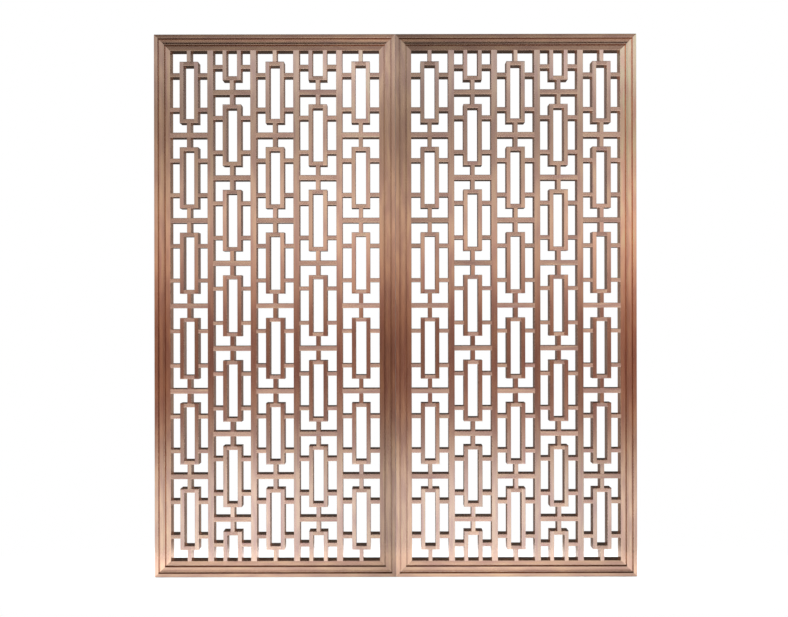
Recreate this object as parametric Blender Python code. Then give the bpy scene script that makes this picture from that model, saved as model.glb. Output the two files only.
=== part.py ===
# Partition screen: two identical framed lattice panels standing side by side.
# Metres, +Z up. X runs along the screen and Y through its depth, with the front facing -Y.
# The origin is at floor level, in the middle of the screen's underside.

import math
from itertools import groupby

import bpy
from mathutils.geometry import tessellate_polygon

# Panels
PANEL_NAMES = ("left_panel", "right_panel")
PANEL_PITCH = 1.200  # from one panel's middle to the next
PANEL_HEIGHT = 2.700
TOUCH_GAP = 0.0003  # clearance kept between pieces that meet
PANEL_WIDTH = PANEL_PITCH - TOUCH_GAP

# Frame moulding: three bands, each lower than the one outside it, parted by two grooves
OUTER_BAND = 0.0185
MIDDLE_BAND = 0.026
INNER_BAND = 0.0235
GROOVE_WIDTH = 0.006
GROOVE_DEPTH = 0.008  # below the lower of the two bands that it parts
BAND_STEP = 0.0025  # from one band down to the next
COVE_DEPTH = 0.0015  # hollow along the middle band
FRAME_WIDTH = OUTER_BAND + MIDDLE_BAND + INNER_BAND + 2 * GROOVE_WIDTH

# Lattice of box tube, flush with the frame's inner band on both faces
LATTICE_DEPTH = 0.050
COLUMNS = 5
CELLS_HIGH = 6
UPRIGHT_WIDTH = 0.030
CROSSBAR_HEIGHT = 0.025
THIN_BAR = 0.020  # rings and stubs
RING_WIDTH = 0.092
RING_HEIGHT = 0.305
SIDE_STUB_RISE = 0.086  # side stubs lie this far above and below a ring's middle
PATTERN_LAP = 0.0065  # the whole cells would run on this far past the opening at each end

OPENING_WIDTH = PANEL_WIDTH - 2 * FRAME_WIDTH
OPENING_HEIGHT = PANEL_HEIGHT - 2 * FRAME_WIDTH
CELL_HEIGHT = (OPENING_HEIGHT + 2 * PATTERN_LAP) / CELLS_HIGH
COLUMN_WIDTH = (OPENING_WIDTH - (COLUMNS - 1) * UPRIGHT_WIDTH) / COLUMNS
COLUMN_PITCH = COLUMN_WIDTH + UPRIGHT_WIDTH


def clear_scene():
    for obj in list(bpy.data.objects):
        bpy.data.objects.remove(obj, do_unlink=True)


def metal(name, colour, roughness):
    material = bpy.data.materials.new(name)
    material.use_nodes = True
    shader = material.node_tree.nodes["Principled BSDF"]
    shader.inputs["Base Color"].default_value = (*colour, 1.0)
    shader.inputs["Metallic"].default_value = 1.0
    shader.inputs["Roughness"].default_value = roughness
    return material


def add_object(name, corners, faces, material, panel, location):
    mesh = bpy.data.meshes.new(name)
    mesh.from_pydata(corners, [], faces)
    mesh.materials.append(material)
    obj = bpy.data.objects.new(name, mesh)
    bpy.context.collection.objects.link(obj)
    obj.parent = panel
    obj.location = location
    return obj


def add_panel(name, middle):
    panel = bpy.data.objects.new(name, None)
    bpy.context.collection.objects.link(panel)
    panel.location.x = middle
    return panel


# Frame

def frame_section():
    # Closed section of the moulding as (inset, depth) pairs: inset from the panel's outer edge,
    # depth negative towards the front. The back has the same steps, without grooves or cove.
    inner_face = LATTICE_DEPTH / 2
    middle_face = inner_face + BAND_STEP
    outer_face = middle_face + BAND_STEP
    middle_start = OUTER_BAND + GROOVE_WIDTH
    middle_end = middle_start + MIDDLE_BAND
    inner_start = middle_end + GROOVE_WIDTH
    front = [
        (0.0, outer_face),
        (OUTER_BAND, outer_face),
        (OUTER_BAND, middle_face - GROOVE_DEPTH),
        (middle_start, middle_face - GROOVE_DEPTH),
        (middle_start, middle_face),
        (middle_start + MIDDLE_BAND / 2, middle_face - COVE_DEPTH),
        (middle_end, middle_face),
        (middle_end, inner_face - GROOVE_DEPTH),
        (inner_start, inner_face - GROOVE_DEPTH),
        (inner_start, inner_face),
        (FRAME_WIDTH, inner_face),
    ]
    outer_step = OUTER_BAND + GROOVE_WIDTH / 2
    inner_step = middle_end + GROOVE_WIDTH / 2
    back = [
        (FRAME_WIDTH, inner_face),
        (inner_step, inner_face),
        (inner_step, middle_face),
        (outer_step, middle_face),
        (outer_step, outer_face),
        (0.0, outer_face),
    ]
    return [(inset, -depth) for inset, depth in front] + back


def add_frame_member(name, length, material, panel, location, turn):
    # The section runs along X with its outer edge at Z = 0. Both ends are mitred, and set back
    # so that half of the touch gap lies on each side of the mitre plane.
    setback = TOUCH_GAP / math.sqrt(2)
    section = frame_section()
    count = len(section)
    corners = [
        (side * (length / 2 - inset - setback), depth, inset)
        for side in (-1, 1)
        for inset, depth in section
    ]
    faces = [tuple(range(count)), tuple(reversed(range(count, 2 * count)))]
    for i in range(count):
        j = (i + 1) % count
        faces.append((j, i, count + i, count + j))
    member = add_object(name, corners, faces, material, panel, location)
    member.rotation_euler.y = turn


def add_frame(panel, material):
    half_width = PANEL_WIDTH / 2
    half_height = PANEL_HEIGHT / 2
    quarter = math.pi / 2
    sides = (
        ("bottom", PANEL_WIDTH, (0.0, 0.0, 0.0), 0.0),
        ("left", PANEL_HEIGHT, (-half_width, 0.0, half_height), quarter),
        ("top", PANEL_WIDTH, (0.0, 0.0, PANEL_HEIGHT), 2 * quarter),
        ("right", PANEL_HEIGHT, (half_width, 0.0, half_height), -quarter),
    )
    for side, length, location, turn in sides:
        add_frame_member(f"{panel.name}_frame_{side}", length, material, panel, location, turn)


# Lattice

def add_lattice_piece(name, outline, holes, material, panel, location):
    # Outline and holes are loops of (x, z) corners; Solidify gives the flat piece its depth.
    loops = [outline, *holes]
    corners = [(x, 0.0, z) for loop in loops for x, z in loop]
    faces = tessellate_polygon([[(x, z, 0.0) for x, z in loop] for loop in loops])
    piece = add_object(name, corners, faces, material, panel, location)
    depth = piece.modifiers.new("depth", "SOLIDIFY")
    depth.thickness = LATTICE_DEPTH
    depth.offset = 0.0


def column_bands(raised):
    # Half widths of a column's infill from bottom to top, as (half width, height) bands. A plain
    # column holds whole cells between its crossbars. A raised one starts half a cell lower, so
    # it is cut through the middle of a ring at both ends.
    full = COLUMN_WIDTH / 2 - TOUCH_GAP
    ring = RING_WIDTH / 2
    stub = THIN_BAR / 2
    half_cell = [
        (ring, SIDE_STUB_RISE - THIN_BAR / 2),
        (full, THIN_BAR),
        (ring, RING_HEIGHT / 2 - SIDE_STUB_RISE - THIN_BAR / 2),
        (stub, (CELL_HEIGHT - RING_HEIGHT - CROSSBAR_HEIGHT) / 2),
    ]
    cell = half_cell[::-1] + half_cell
    crossbar = [(full, CROSSBAR_HEIGHT)]
    if raised:
        return half_cell + crossbar + (CELLS_HIGH - 1) * (cell + crossbar) + half_cell[::-1]
    end = [(stub, CROSSBAR_HEIGHT / 2)]
    return end + (CELLS_HIGH - 1) * (cell + crossbar) + cell + end


def column_outline(raised):
    # The right-hand edge climbs the bands from bottom to top, and the left-hand edge is its
    # mirror image coming down. The half rings of a raised column are notches in its ends.
    low = TOUCH_GAP
    high = OPENING_HEIGHT - TOUCH_GAP
    edge = []
    bottom = -PATTERN_LAP
    for half_width, bands in groupby(column_bands(raised), key=lambda band: band[0]):
        top = bottom + sum(height for _, height in bands)
        edge += [(half_width, max(bottom, low)), (half_width, min(top, high))]
        bottom = top
    if raised:
        side = RING_WIDTH / 2 - THIN_BAR
        depth = RING_HEIGHT / 2 - THIN_BAR - PATTERN_LAP
        edge = [(side, depth), (side, low), *edge, (side, high), (side, OPENING_HEIGHT - depth)]
    return edge + [(-x, z) for x, z in reversed(edge)]


def ring_holes(raised):
    side = RING_WIDTH / 2 - THIN_BAR
    reach = RING_HEIGHT / 2 - THIN_BAR
    first = 1.0 if raised else 0.5
    count = CELLS_HIGH - 1 if raised else CELLS_HIGH
    middles = [(first + cell) * CELL_HEIGHT - PATTERN_LAP for cell in range(count)]
    return [
        [(-side, z - reach), (side, z - reach), (side, z + reach), (-side, z + reach)]
        for z in middles
    ]


def add_lattice(panel, upright_metal, infill_metal):
    first = -OPENING_WIDTH / 2 + COLUMN_WIDTH / 2
    for column in range(COLUMNS):
        raised = column % 2 == 1
        place = (first + column * COLUMN_PITCH, 0.0, FRAME_WIDTH)
        add_lattice_piece(f"{panel.name}_infill_{column + 1}", column_outline(raised),
                          ring_holes(raised), infill_metal, panel, place)
    side = UPRIGHT_WIDTH / 2
    low = TOUCH_GAP
    high = OPENING_HEIGHT - TOUCH_GAP
    outline = [(-side, low), (side, low), (side, high), (-side, high)]
    for line in range(COLUMNS - 1):
        place = (first + (line + 0.5) * COLUMN_PITCH, 0.0, FRAME_WIDTH)
        add_lattice_piece(f"{panel.name}_upright_{line + 1}", outline, [], upright_metal, panel, place)


def build():
    clear_scene()
    frame_metal = metal("rose_gold_frame", (0.60, 0.36, 0.25), 0.32)
    upright_metal = metal("rose_gold_upright", (0.62, 0.38, 0.27), 0.30)
    infill_metal = metal("rose_gold_infill", (0.61, 0.37, 0.27), 0.34)
    for place, name in enumerate(PANEL_NAMES):
        middle = (place - (len(PANEL_NAMES) - 1) / 2) * PANEL_PITCH
        panel = add_panel(name, middle)
        add_frame(panel, frame_metal)
        add_lattice(panel, upright_metal, infill_metal)


build()
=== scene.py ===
import math

import bpy
import numpy as np
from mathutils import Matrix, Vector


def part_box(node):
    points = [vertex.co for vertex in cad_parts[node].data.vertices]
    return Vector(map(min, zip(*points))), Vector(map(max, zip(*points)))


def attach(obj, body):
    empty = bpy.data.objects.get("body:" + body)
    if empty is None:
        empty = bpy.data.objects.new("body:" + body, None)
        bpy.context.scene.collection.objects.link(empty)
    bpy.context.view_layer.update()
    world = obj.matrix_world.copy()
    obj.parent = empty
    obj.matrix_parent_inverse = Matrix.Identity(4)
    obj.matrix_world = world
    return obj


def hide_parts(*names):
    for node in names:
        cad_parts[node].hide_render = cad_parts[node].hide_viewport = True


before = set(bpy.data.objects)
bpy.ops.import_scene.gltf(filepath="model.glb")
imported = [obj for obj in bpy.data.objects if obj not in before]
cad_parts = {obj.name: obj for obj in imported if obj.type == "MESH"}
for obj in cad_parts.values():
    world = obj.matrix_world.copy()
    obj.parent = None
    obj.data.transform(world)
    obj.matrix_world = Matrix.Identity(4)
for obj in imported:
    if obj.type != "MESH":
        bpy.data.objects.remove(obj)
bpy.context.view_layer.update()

print("frame loaded:", len(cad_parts), "nodes")

panelNames = ("left_panel", "right_panel")
panelPitch = 1.200
panelHeight = 2.700
touchGap = 0.0003  # what the frame's solids leave between pieces that meet
edgeRadius = 0.0018  # of every arris on the tube and the moulding
edgeSteps = 3
sharpAngle = 38  # degrees, above which two faces meet in a sharp edge
grainSpread = 7.0  # the members' patterns start up to this far apart
toneSource = np.random.default_rng(27)  # member tones and grain offsets, drawn in a fixed order


# mesh helpers

def quarterRound():
    # a quarter circle from the wall up to the face, as (way in from the edge, way up)
    turn = np.linspace(0.0, math.pi / 2, edgeSteps + 1)
    return edgeRadius * (1 - np.cos(turn)), edgeRadius * np.sin(turn)


def makePiece(node, suffix, corners, faces, grain, tonesAndShades, wearAndGrooveShade, material):
    # corners is n x 3, faces a list of rings, grain an (across, along) pair for every corner of every
    # face, and tones and wear one number for each face; a tone multiplies the colour (on a frame side it
    # is painted reflection shading), and wear is 1 on an arris, where the coating is rubbed, and down to
    # -1 in a groove darkened by painted shade
    mesh = bpy.data.meshes.new(node + suffix)
    mesh.from_pydata(corners.tolist(), [], faces)
    mesh.uv_layers.new(name="grain").data.foreach_set("uv", grain.astype(np.float32).ravel())
    for layer, values in (("tone", tonesAndShades), ("wearAndGrooveShade", wearAndGrooveShade)):
        mesh.attributes.new(layer, "FLOAT", "FACE").data.foreach_set("value", values.astype(np.float32))
    mesh.materials.append(material)
    mesh.shade_smooth()
    mesh.set_sharp_from_angle(angle=math.radians(sharpAngle))
    piece = bpy.data.objects.new(node + suffix, mesh)
    bpy.context.scene.collection.objects.link(piece)
    flatten = piece.modifiers.new("flatFaces", "WEIGHTED_NORMAL")
    flatten.keep_sharp = True
    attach(piece, "root")
    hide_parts(node)
    return piece


# node helpers

def addNode(tree, kind, inputs=None, **settings):
    # one node; an input that is another node's output is linked, and any other is set
    made = tree.nodes.new(kind)
    for key, value in settings.items():
        setattr(made, key, value)
    for key, value in (inputs or {}).items():
        if isinstance(value, bpy.types.NodeSocket):
            tree.links.new(value, made.inputs[key])
        else:
            made.inputs[key].default_value = value
    return made


def calculate(tree, operation, a, b=0.0, c=0.0):
    # one operation on up to three numbers
    return addNode(tree, "ShaderNodeMath", {0: a, 1: b, 2: c}, operation=operation).outputs[0]


def combine(tree, operation, first, second):
    # the same operation on each of a colour's three parts
    made = addNode(tree, "ShaderNodeVectorMath", {0: first, 1: second}, operation=operation)
    return made.outputs["Vector"]


def remap(tree, value, fromLow, fromHigh, toLow, toHigh, interpolation="LINEAR"):
    # carries one range onto another and stops at its ends
    inputs = {"Value": value, "From Min": fromLow, "From Max": fromHigh, "To Min": toLow, "To Max": toHigh}
    return addNode(tree, "ShaderNodeMapRange", inputs, interpolation_type=interpolation).outputs["Result"]


def blend(tree, share, first, second):
    # from the first colour at share 0 to the second at 1
    inputs = {"Factor": share}
    for key, colour in (("A", first), ("B", second)):
        inputs[key] = colour if isinstance(colour, bpy.types.NodeSocket) else (*colour, 1.0)
    return addNode(tree, "ShaderNodeMix", inputs, data_type="RGBA").outputs["Result"]


# brushed metal

metalFinish = {
    "latticeTints": ((0.79, 0.555, 0.425), (0.75, 0.475, 0.40)),  # tan and blush
    "frameTints": ((0.815, 0.53, 0.37), (0.765, 0.455, 0.35)),
    "rubbedColour": (0.88, 0.68, 0.56),
    "rubbedShare": 0.35,
    # painted shade in a groove
    "grooveShadeColour": (0.44, 0.22, 0.13),
    "grooveShadeShare": 0.75,
    "streakWidth": 0.0045,
    "streakLength": 0.42,
    "mottleWidth": 0.030,
    "mottleLength": 0.15,
    "mottle": ((0.88, 0.86, 0.90), (1.10, 1.12, 1.05)),  # what it multiplies the colour by
    "hairWidth": 0.0006,
    "hairLength": 0.045,
    "noiseSpan": (0.3, 0.7),  # the part of each noise's range that carries a look from end to end
    "roughness": (0.21, 0.27),
    "hairShare": 0.5,  # of the roughness, the rest follows the streaks
    "anisotropy": 0.88,
    "hairHeight": 0.000004,
    "memberTone": 0.12,  # how far a member's tone is from 1, at most
    # driftTop to bowHeight shape a painted reflection drift, lighter or darker across each panel
    "driftTop": 0.31,
    "driftFoot": -0.115,
    "bowFoot": 0.25,
    "bowHeight": 1.2,  # above this there is no bow
}


def paintedReflectionDrift(tree):
    # painted reflection shading, lighter or darker across each panel: 1 + lift * s - bow * s squared,
    # where s runs from -1 to 1 across each panel, lift goes from driftFoot to driftTop up the whole height,
    # and bow goes from bowFoot to nothing
    f = metalFinish
    place = addNode(tree, "ShaderNodeTexCoord").outputs["Object"]
    axes = addNode(tree, "ShaderNodeSeparateXYZ", {"Vector": place}).outputs
    half = panelPitch / 2
    fromMiddle = calculate(tree, "WRAP", calculate(tree, "ADD", axes["X"], half), half, -half)
    sideways = calculate(tree, "DIVIDE", fromMiddle, half)
    lift = remap(tree, axes["Z"], 0.0, panelHeight, f["driftFoot"], f["driftTop"])
    bow = remap(tree, axes["Z"], 0.0, f["bowHeight"], f["bowFoot"], 0.0)
    slope = calculate(tree, "SUBTRACT", lift, calculate(tree, "MULTIPLY", bow, sideways))
    return calculate(tree, "MULTIPLY_ADD", sideways, slope, 1.0)


def brushedMetal(name, tints):
    # Colour = streaks from blush to tan, times a slow mottle, the member's tone (random on the
    # lattice, painted reflection shading on a frame side) and a painted reflection drift across each
    # panel, lighter on a rubbed arris and darker in a groove with painted shade. Roughness follows the
    # hairs and the streaks, and bump follows the hairs.
    f = metalFinish
    material = bpy.data.materials.new(name)
    material.use_nodes = True
    tree = material.node_tree
    shader = tree.nodes["Principled BSDF"]
    shader.inputs["Metallic"].default_value = 1.0
    shader.inputs["Anisotropic"].default_value = f["anisotropy"]
    grain = addNode(tree, "ShaderNodeUVMap", uv_map="grain").outputs["UV"]

    def hairs(width, length, detail):
        # noise drawn out along the member
        scale = (1 / width, 1 / length, 1.0)
        stretched = addNode(tree, "ShaderNodeMapping", {"Vector": grain, "Scale": scale}).outputs["Vector"]
        inputs = {"Vector": stretched, "Scale": 1.0, "Detail": detail}
        return addNode(tree, "ShaderNodeTexNoise", inputs, noise_dimensions="2D").outputs["Fac"]

    streaks = hairs(f["streakWidth"], f["streakLength"], detail=2.0)
    mottle = hairs(f["mottleWidth"], f["mottleLength"], detail=1.0)
    fine = hairs(f["hairWidth"], f["hairLength"], detail=3.0)
    tone = addNode(tree, "ShaderNodeAttribute", attribute_name="tone").outputs["Fac"]
    wearAndGrooveShade = addNode(tree, "ShaderNodeAttribute", attribute_name="wearAndGrooveShade").outputs["Fac"]

    colour = blend(tree, remap(tree, streaks, *f["noiseSpan"], 0.0, 1.0), tints[1], tints[0])
    patches = blend(tree, remap(tree, mottle, *f["noiseSpan"], 0.0, 1.0), *f["mottle"])
    colour = combine(tree, "MULTIPLY", colour, patches)
    rubbed = remap(tree, wearAndGrooveShade, 0.0, 1.0, 0.0, f["rubbedShare"])
    colour = blend(tree, rubbed, colour, f["rubbedColour"])
    # painted shade: darker in a groove
    grooveShaded = remap(tree, wearAndGrooveShade, 0.0, -1.0, 0.0, f["grooveShadeShare"])
    colour = blend(tree, grooveShaded, colour, f["grooveShadeColour"])
    # painted reflection shading: the drift across each panel, times the tone
    level = calculate(tree, "MULTIPLY", paintedReflectionDrift(tree), tone)
    toned = addNode(tree, "ShaderNodeVectorMath", {0: colour, "Scale": level}, operation="SCALE")
    tree.links.new(toned.outputs["Vector"], shader.inputs["Base Color"])

    streakPart = calculate(tree, "MULTIPLY", streaks, 1 - f["hairShare"])
    rough = calculate(tree, "MULTIPLY_ADD", fine, f["hairShare"], streakPart)
    rough = remap(tree, rough, *f["noiseSpan"], *f["roughness"])
    tree.links.new(rough, shader.inputs["Roughness"])
    across = addNode(tree, "ShaderNodeTangent", direction_type="UV_MAP", uv_map="grain").outputs["Tangent"]
    tree.links.new(across, shader.inputs["Tangent"])
    bump = addNode(tree, "ShaderNodeBump", {"Height": fine, "Distance": f["hairHeight"], "Strength": 1.0})
    tree.links.new(bump.outputs["Normal"], shader.inputs["Normal"])
    return material


frameMetal = brushedMetal("frameRoseGold", metalFinish["frameTints"])
uprightMetal = brushedMetal("uprightRoseGold", metalFinish["latticeTints"])
infillMetal = brushedMetal("infillRoseGold", metalFinish["latticeTints"])
print("materials made")


# lattice of box tube

lattice = {
    "columns": 5,
    "depth": 0.050,
    "crossbar": 0.025,
    "thinBar": 0.020,
    "ringWidth": 0.092,
    "ringHeight": 0.305,
    "sideStubRise": 0.086,
    "cellsHigh": 6,
    "patternLap": 0.0065,  # the whole cells would run on this far past the opening at each end
}


def gridLines(edges, low, high):
    # the bars' edges and, on both sides of each, the lines that carry an arris, within the piece
    inwards, _ = quarterRound()
    steps = np.concatenate([-inwards[:0:-1], inwards])
    lines = (np.asarray(edges)[:, None] + steps).ravel()
    lines = np.concatenate([lines[(lines > low) & (lines < high)], [low, high]])
    return np.unique(np.round(lines, 6))


def barSolid(node, suffix, bars, limits, material):
    # A flat lattice of bars as a function of x and z on a grid. The depth inside a bar is the
    # least distance to its four edges, and inside the lattice it is the greatest of these. The
    # face stands at half the lattice's depth and falls in a quarter circle near an edge. A bar
    # is (left, right, bottom, top, 1 if it runs upright), and limits are where the piece ends.
    edges = np.array([bar[:4] for bar in bars])
    upright = np.array([bar[4] for bar in bars], bool)
    xs = gridLines(edges[:, :2].ravel(), limits[0], limits[1])
    zs = gridLines(edges[:, 2:].ravel(), limits[2], limits[3])

    def insideDepth(x, z):
        x, z = x[:, None, None], z[None, :, None]
        return np.minimum(np.minimum(x - edges[:, 0], edges[:, 1] - x),
                          np.minimum(z - edges[:, 2], edges[:, 3] - z))

    cells = insideDepth((xs[:-1] + xs[1:]) / 2, (zs[:-1] + zs[1:]) / 2)
    filled = cells.max(axis=2) > 0
    owner = np.where(cells > 0, np.arange(len(bars)), -1).max(axis=2)  # later bars run through
    short = np.clip(edgeRadius - insideDepth(xs, zs).max(axis=2), 0, edgeRadius)
    face = lattice["depth"] / 2 - edgeRadius + np.sqrt(edgeRadius ** 2 - short ** 2)
    arris = cells.max(axis=2) < edgeRadius

    used = np.zeros((len(xs), len(zs)), bool)
    for i in (0, 1):
        for k in (0, 1):
            used[i:len(xs) - 1 + i, k:len(zs) - 1 + k] |= filled
    front = np.cumsum(used.ravel()).reshape(used.shape) - 1
    sheets = {1: front, 0: front + used.sum()}
    gridX, gridZ = np.meshgrid(xs, zs, indexing="ij")
    x, y, z = gridX[used], face[used], gridZ[used]
    corners = np.concatenate([np.stack([x, -y, z], 1), np.stack([x, y, z], 1)])

    # The faces of each kind: the cells that have one, and its ring as (step in x, step in z, 1 on
    # the front sheet). Front and back come first, then the walls left, right, below and above.
    beside = np.pad(filled, 1)
    sides = (
        (filled, ((0, 0, 1), (1, 0, 1), (1, 1, 1), (0, 1, 1))),
        (filled, ((0, 0, 0), (0, 1, 0), (1, 1, 0), (1, 0, 0))),
        (filled & ~beside[:-2, 1:-1], ((0, 0, 1), (0, 1, 1), (0, 1, 0), (0, 0, 0))),
        (filled & ~beside[2:, 1:-1], ((1, 0, 1), (1, 0, 0), (1, 1, 0), (1, 1, 1))),
        (filled & ~beside[1:-1, :-2], ((0, 0, 1), (0, 0, 0), (1, 0, 0), (1, 0, 1))),
        (filled & ~beside[1:-1, 2:], ((0, 1, 1), (1, 1, 1), (1, 1, 0), (0, 1, 0))),
    )
    shift = toneSource.random((len(bars), 2)) * grainSpread
    tone = 1 + metalFinish["memberTone"] * (2 * toneSource.random(len(bars)) - 1)
    rings, grain, owners, rubbed = [], [], [], []
    for kind, (where, ring) in enumerate(sides):
        i, k = np.nonzero(where)
        quad = np.stack([sheets[near][i + di, k + dk] for di, dk, near in ring], 1)
        own = owner[i, k]
        at = corners[quad]
        wall = kind > 1
        runsUp = np.full(len(own), kind < 4) if wall else upright[own]
        along = np.where(runsUp[:, None], at[..., 2], at[..., 0])
        level = np.where(runsUp[:, None], at[..., 0], at[..., 2])
        across = at[..., 1] if wall else level
        grain.append(np.stack([across + shift[own, :1], along + shift[own, 1:]], -1).reshape(-1, 2))
        rings.append(quad)
        owners.append(own)
        rubbed.append(arris[i, k] & (not wall))
    return makePiece(node, suffix, corners, np.concatenate(rings).tolist(), np.concatenate(grain),
                     tone[np.concatenate(owners)], np.concatenate(rubbed), material)


def columnBars(middle, foot, head, raised):
    # one column's bars, bottom to top: stubs, crossbars, then the rings that run through them
    s = lattice
    pitch = (head - foot) / s["cellsHigh"]
    thin = s["thinBar"] / 2
    ringSide = s["ringWidth"] / 2
    ringEnd = s["ringHeight"] / 2
    reach = panelPitch / 2  # past the column's own sides, which cut it off
    first = 0 if raised else 0.5
    rings = [foot + (first + n) * pitch for n in range(s["cellsHigh"] + (1 if raised else 0))]
    crossbars = [z + pitch / 2 for z in rings[:-1]]
    bars = []
    for z in rings:
        for up in (-1, 1):
            crossbarInside = z + up * (pitch / 2 + thin / 4)  # hidden in the crossbar that it meets
            ends = sorted((z + up * (ringEnd - thin), crossbarInside))
            bars.append((middle - thin, middle + thin, *ends, 1))
            stub = z + up * s["sideStubRise"]
            for side in (-1, 1):
                ends = sorted((middle + side * (ringSide - thin), middle + side * reach))
                bars.append((*ends, stub - thin, stub + thin, 0))
    for z in crossbars:
        tall = s["crossbar"] / 2
        bars.append((middle - reach, middle + reach, z - tall, z + tall, 0))
    for z in rings:
        for up in (-1, 1):
            ends = sorted((z + up * (ringEnd - 2 * thin), z + up * ringEnd))
            bars.append((middle - ringSide, middle + ringSide, *ends, 0))
        for side in (-1, 1):
            ends = sorted((middle + side * (ringSide - 2 * thin), middle + side * ringSide))
            bars.append((*ends, z - ringEnd, z + ringEnd, 1))
    return bars


def makeLattice(panel):
    # every even column is raised by half a cell
    reach = touchGap + edgeRadius  # in to where the neighbour's face is flat
    lap = touchGap + lattice["patternLap"]
    for column in range(1, lattice["columns"] + 1):
        node = f"{panel}_infill_{column}"
        low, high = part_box(node)
        bars = columnBars((low.x + high.x) / 2, low.z - lap, high.z + lap, raised=column % 2 == 0)
        limits = (low.x - reach, high.x + reach, low.z - reach, high.z + reach)
        barSolid(node, "_rings", bars, limits, infillMetal)
    for line in range(1, lattice["columns"]):
        node = f"{panel}_upright_{line}"
        low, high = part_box(node)
        bar = (low.x, high.x, low.z - 1, high.z + 1, 1)  # its ends lie well past the piece's limits
        limits = (low.x, high.x, low.z - reach, high.z + reach)
        barSolid(node, "_tube", [bar], limits, uprightMetal)


for panelName in panelNames:
    makeLattice(panelName)
print("lattice made")


# frame moulding, from its outer edge inwards

moulding = {
    "outerBand": 0.0185,
    "middleBand": 0.026,
    "innerBand": 0.0235,
    "grooveWidth": 0.006,
    "grooveDepth": 0.008,
    "bandStep": 0.0025,
    "coveDepth": 0.0015,
    "coveSteps": 8,
    "tonesAndShades": {  # what each side's colour is multiplied by: painted reflection shading, set for each side
        "left_panel": {"bottom": 0.81, "left": 1.11, "top": 0.71, "right": 0.76},
        "right_panel": {"bottom": 0.86, "left": 0.99, "top": 0.69, "right": 1.14},
    },
    "grooveShade": {"bottom": 0.40, "left": 0.35, "top": 1.00, "right": 0.45},  # painted shade in each side's grooves; 1 is the darkest
}


def bandPoints(start, end, face, roundStart=True, dip=0.0):
    # One band of the section as (way in, depth): quarter rounds at its corners and, between
    # them, a parabola that dips by the cove's depth.
    inwards, upwards = quarterRound()
    fall = edgeRadius - upwards
    foot = np.stack([start + inwards, face - fall], 1) if roundStart else np.array([[start, face]])
    head = np.stack([end - inwards, face - fall], 1)[::-1]
    if not dip:
        return np.concatenate([foot, head])
    t = np.linspace(-1, 1, moulding["coveSteps"] + 1)[1:-1]
    wayIn = (start + end + t * (end - start - 2 * edgeRadius)) / 2
    cove = np.stack([wayIn, face - dip * (1 - t ** 2)], 1)
    return np.concatenate([foot, cove, head])


def sectionPoints():
    # The moulding's closed section as (way in, depth), front first and depth negative in front,
    # and which of its points are a groove's floor. The back has the same steps, without grooves
    # or cove.
    m = moulding
    inner = lattice["depth"] / 2
    middle = inner + m["bandStep"]
    outer = middle + m["bandStep"]
    middleStart = m["outerBand"] + m["grooveWidth"]
    middleEnd = middleStart + m["middleBand"]
    innerStart = middleEnd + m["grooveWidth"]
    width = innerStart + m["innerBand"]
    outerFloor = middle - m["grooveDepth"]
    innerFloor = inner - m["grooveDepth"]
    front = [
        bandPoints(0.0, m["outerBand"], outer),
        [[m["outerBand"], outerFloor], [middleStart, outerFloor]],
        bandPoints(middleStart, middleEnd, middle, dip=m["coveDepth"]),
        [[middleEnd, innerFloor], [innerStart, innerFloor]],
        bandPoints(innerStart, width, inner),
    ]
    floors = np.repeat([False, True, False, True, False], [len(run) for run in front])
    outerStep = m["outerBand"] + m["grooveWidth"] / 2
    innerStep = middleEnd + m["grooveWidth"] / 2
    back = np.concatenate([
        bandPoints(0.0, outerStep, outer),
        bandPoints(outerStep, innerStep, middle, roundStart=False),
        bandPoints(innerStep, width, inner, roundStart=False),
    ])
    section = np.concatenate([np.concatenate(front) * (1, -1), back[::-1]])
    return section, np.pad(floors, (0, len(section) - len(floors)))


def makeFrameSide(panel, side, turn):
    # The section carried along one side: at way in w, the side runs for half its length less w
    # each way from its middle, which mitres both ends. Turn takes it round from the bottom.
    node = f"{panel}_frame_{side}"
    low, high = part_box(node)
    section, floors = sectionPoints()
    length = max(high.x - low.x, high.z - low.z)
    reach = length / 2 - section[:, 0]
    count = len(section)
    along = np.concatenate([-reach, reach])
    inset = np.tile(section[:, 0], 2)
    depth = np.tile(section[:, 1], 2)
    outward = {"bottom": (0, -1), "left": (-1, 0), "top": (0, 1), "right": (1, 0)}[side]
    middle = np.array([low.x + high.x, low.z + high.z]) / 2
    edge = middle + np.array(outward) * (np.array([high.x - low.x, high.z - low.z]) / 2)
    x = edge[0] + along * math.cos(turn) + inset * math.sin(turn)
    z = edge[1] - along * math.sin(turn) + inset * math.cos(turn)
    corners = np.stack([x, depth, z], 1)

    here = np.arange(count)
    following = (here + 1) % count
    quads = np.stack([following, here, count + here, count + following], 1)
    faces = quads.tolist() + [here.tolist(), (count + here[::-1]).tolist()]
    step = np.hypot(*(section[following] - section).T)
    travelled = np.concatenate([[0], np.cumsum(step)])
    across = np.stack([travelled[1:], travelled[:-1], travelled[:-1], travelled[1:]], 1).ravel()
    shift = toneSource.random(2) * grainSpread
    grain = np.stack([across, along[quads].ravel()], 1)
    grain = np.concatenate([grain, section, section[::-1]]) + shift
    # painted reflection shading, one level for each side of each panel
    tonesAndShades = np.full(len(faces), moulding["tonesAndShades"][panel][side])
    # painted shade on a groove's floor and walls, deeper on some sides than others
    grooveShaded = floors | floors[following]
    wearAndGrooveShade = 1.0 * (step < edgeRadius) - moulding["grooveShade"][side] * grooveShaded
    wearAndGrooveShade = np.concatenate([wearAndGrooveShade, [0.0, 0.0]])
    return makePiece(node, "_moulding", corners, faces, grain, tonesAndShades, wearAndGrooveShade, frameMetal)


for panelName in panelNames:
    for sideName, quarters in (("bottom", 0), ("left", 1), ("top", 2), ("right", -1)):
        makeFrameSide(panelName, sideName, quarters * math.pi / 2)
print("frames made")


# camera

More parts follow.
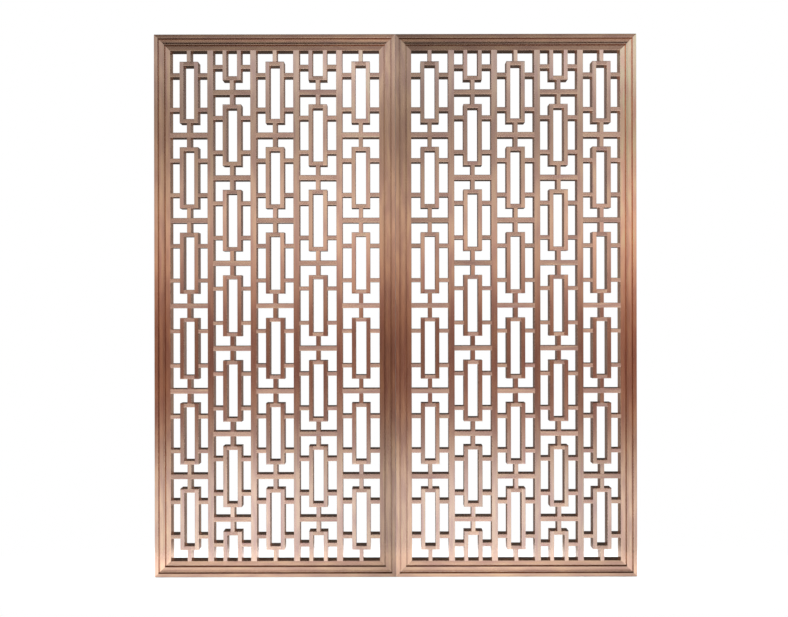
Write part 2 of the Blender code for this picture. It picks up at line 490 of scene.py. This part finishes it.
cameraView = {
    "place": (-0.0077, -3.63, 1.335),
    "pictureWidth": 788,
    "focal": 724.0,  # in pixels of the picture
    "roll": 0.11,  # degrees
    "farthest": 200.0,
}


def makeCamera():
    # square on to the screen but for a slight roll; its focal length is turned from pixels into
    # millimetres
    data = bpy.data.cameras.new("camera")
    data.sensor_width = 36.0
    data.lens = cameraView["focal"] / cameraView["pictureWidth"] * data.sensor_width
    data.clip_end = cameraView["farthest"]
    camera = bpy.data.objects.new("camera", data)
    bpy.context.scene.collection.objects.link(camera)
    camera.location = cameraView["place"]
    camera.rotation_euler = (math.pi / 2, math.radians(cameraView["roll"]), 0.0)
    bpy.context.scene.camera = camera


makeCamera()
print("camera placed")


# stage: pale floor, white surround for the camera, soft light

studio = {
    "floorSize": 8.0,
    "floorDrop": 0.0005,
    "floorReach": (2.6, 0.55),  # where it has faded away, along the screen and before it
    "floorEdge": 0.45,  # the share of that reach where it starts to fade
    "floorColour": (0.80, 0.85, 0.88),
    "surround": 60.0,
    "lampSize": 8.0,
    "lampHeight": 6.0,
    "lampPower": 1300.0,
}


def stageMaterial(name):
    # an empty material and its node tree
    material = bpy.data.materials.new(name)
    material.use_nodes = True
    material.node_tree.nodes.clear()
    return material, material.node_tree


def makeFloor():
    # a matt plane that fades away with distance, measured as a share of its reach on each axis
    half = studio["floorSize"] / 2
    corners = [(-half, -half, 0), (half, -half, 0), (half, half, 0), (-half, half, 0)]
    mesh = bpy.data.meshes.new("floor")
    mesh.from_pydata(corners, [], [(0, 1, 2, 3)])
    floor = bpy.data.objects.new("floor", mesh)
    bpy.context.scene.collection.objects.link(floor)
    floor.location.z = -studio["floorDrop"]
    material, tree = stageMaterial("floorPaint")
    place = addNode(tree, "ShaderNodeTexCoord").outputs["Object"]
    along, before = studio["floorReach"]
    scale = (1 / along, 1 / before, 1.0)
    scaled = addNode(tree, "ShaderNodeMapping", {"Vector": place, "Scale": scale}).outputs["Vector"]
    distance = addNode(tree, "ShaderNodeVectorMath", {0: scaled}, operation="LENGTH").outputs["Value"]
    faded = remap(tree, distance, studio["floorEdge"], 1.0, 0.0, 1.0, interpolation="SMOOTHSTEP")
    paint = addNode(tree, "ShaderNodeBsdfDiffuse", {"Color": (*studio["floorColour"], 1.0)}).outputs["BSDF"]
    clear = addNode(tree, "ShaderNodeBsdfTransparent").outputs["BSDF"]
    mix = addNode(tree, "ShaderNodeMixShader", {"Fac": faded, 1: paint, 2: clear}).outputs["Shader"]
    addNode(tree, "ShaderNodeOutputMaterial", {"Surface": mix})
    mesh.materials.append(material)


def makeSurround():
    # a plain white shell that only the camera sees
    bpy.ops.mesh.primitive_uv_sphere_add(segments=48, ring_count=24, radius=studio["surround"])
    shell = bpy.context.object
    shell.name = "surround"
    material, tree = stageMaterial("surroundWhite")
    glow = addNode(tree, "ShaderNodeEmission").outputs["Emission"]
    addNode(tree, "ShaderNodeOutputMaterial", {"Surface": glow})
    shell.data.materials.append(material)
    shell.visible_diffuse = False
    shell.visible_glossy = False
    shell.visible_transmission = False
    shell.visible_volume_scatter = False
    shell.visible_shadow = False


# The room that the metal mirrors: its tints, and its brightness by height of view in degrees.
# Before the screen lie a window down low, a copper-coloured shade at eye level, a plaster wall
# over it and a strip of daylight near the ceiling. Behind it, the room is dim.
room = {
    "tints": {
        "white": (1.00, 1.00, 1.00),
        "daylight": (1.00, 1.10, 1.18),
        "plaster": (1.00, 0.96, 0.90),
        "warmWall": (1.00, 0.80, 0.70),
        "copperShade": (1.00, 0.60, 0.48),
    },
    "before": (
        (-26, 1.05, "white"),
        (-18, 0.95, "daylight"),
        (-14, 1.15, "daylight"),
        (-11, 0.55, "plaster"),
        (-8, 0.35, "copperShade"),
        (-3, 0.25, "copperShade"),
        (0, 0.35, "copperShade"),
        (3, 0.70, "warmWall"),
        (8, 0.85, "plaster"),
        (11, 0.60, "plaster"),
        (14, 0.40, "plaster"),
        (16, 0.45, "white"),
        (19, 1.00, "daylight"),
        (24, 0.10, "plaster"),
        (90, 0.10, "white"),
    ),
    "behind": (
        (-30, 0.10, "plaster"),
        (-8, 0.05, "plaster"),
        (8, 0.05, "plaster"),
        (30, 0.10, "plaster"),
        (90, 0.30, "white"),
    ),
    "ends": ((-0.3, -0.65, 0.30), (0.3, 0.65, 0.42)),  # behind only: sideways from and to, level added
    "flank": (0.38, 0.70, 0.60),  # before only: sideways from and to, and what is left of the light
    "changeOver": 0.3,  # how far each way the room before gives way to the room behind
    "strength": 2.0,
}


def heightBands(tree, share, stops):
    # colour by height of view; a ramp holds no more than 1, so the strength is divided out
    ramp = addNode(tree, "ShaderNodeValToRGB", {"Fac": share})
    ramp.color_ramp.interpolation = "CARDINAL"
    elements = ramp.color_ramp.elements
    while len(elements) < len(stops):
        elements.new(0.5)
    for element, (angle, level, tint) in zip(elements, stops):
        element.position = angle / 180 + 0.5  # from straight down at 0 to straight up at 1
    for element, (angle, level, tint) in zip(elements, stops):
        element.color = (*(level * part / room["strength"] for part in room["tints"][tint]), 1.0)
    return ramp.outputs["Color"]


def makeRoom():
    # Light by direction: height bands before the screen, dimmed at the flanks, and height bands
    # behind it, raised at the ends. X, Y and Z are the direction's own parts, and the height of
    # view is the arcsine of Z.
    world = bpy.data.worlds.new("room")
    bpy.context.scene.world = world
    world.use_nodes = True
    tree = world.node_tree
    tree.nodes.clear()
    direction = addNode(tree, "ShaderNodeTexCoord").outputs["Generated"]
    axes = addNode(tree, "ShaderNodeSeparateXYZ", {"Vector": direction}).outputs
    height = calculate(tree, "ARCSINE", axes["Z"])
    share = remap(tree, height, -math.pi / 2, math.pi / 2, 0.0, 1.0)

    def fade(value, start, end, low, high):
        return remap(tree, value, start, end, low, high, interpolation="SMOOTHSTEP")

    flankStart, flankEnd, flankLevel = room["flank"]
    flank = fade(calculate(tree, "ABSOLUTE", axes["X"]), flankStart, flankEnd, 1.0, flankLevel)
    before = combine(tree, "MULTIPLY", heightBands(tree, share, room["before"]), flank)
    behind = heightBands(tree, share, room["behind"])
    for start, end, level in room["ends"]:
        behind = combine(tree, "ADD", behind, fade(axes["X"], start, end, 0.0, level))
    change = fade(axes["Y"], -room["changeOver"], room["changeOver"], 0.0, 1.0)
    light = {"Color": blend(tree, change, before, behind), "Strength": room["strength"]}
    glow = addNode(tree, "ShaderNodeBackground", light).outputs["Background"]
    addNode(tree, "ShaderNodeOutputWorld", {"Surface": glow})


def makeFloorLight():
    # a broad soft light overhead that turns the floor white; the metal doesn't mirror it
    data = bpy.data.lights.new("overhead", "AREA")
    data.shape = "RECTANGLE"
    data.size = studio["lampSize"]
    data.size_y = studio["lampSize"]
    data.energy = studio["lampPower"]
    lamp = bpy.data.objects.new("overhead", data)
    lamp.location.z = studio["lampHeight"]
    lamp.visible_glossy = False
    lamp.visible_camera = False
    bpy.context.scene.collection.objects.link(lamp)


makeFloor()
makeSurround()
makeRoom()
makeFloorLight()
bpy.context.scene.view_settings.view_transform = "Standard"
print("stage made")
